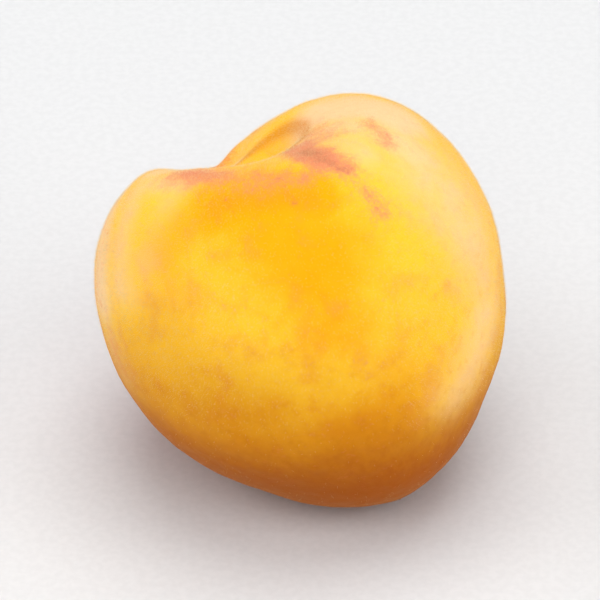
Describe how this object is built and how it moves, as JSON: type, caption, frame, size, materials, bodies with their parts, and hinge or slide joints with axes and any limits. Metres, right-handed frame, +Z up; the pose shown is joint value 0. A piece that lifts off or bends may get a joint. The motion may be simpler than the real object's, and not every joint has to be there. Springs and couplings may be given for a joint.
{
  "type": "yellow peach",
  "caption": "Whole ripe yellow peach with a funnel stem cavity, a shallow suture and a blunt tip, lying on a small flat spot.",
  "frame": {"origin": "middle of the fruit's width and depth, at the height of the flat spot it rests on", "axes": "+Z up, +X to the right and +Y away from the viewer; the stem cavity faces up, back and to the left (-X, +Y, +Z), and the tip faces down, forward and to the right"},
  "size_m": [0.069, 0.0682, 0.0668],
  "materials": {
    "peach_skin": "matte"
  },
  "bodies": {
    "root": {"peach": "peach_skin"}
  },
  "joints": []
}
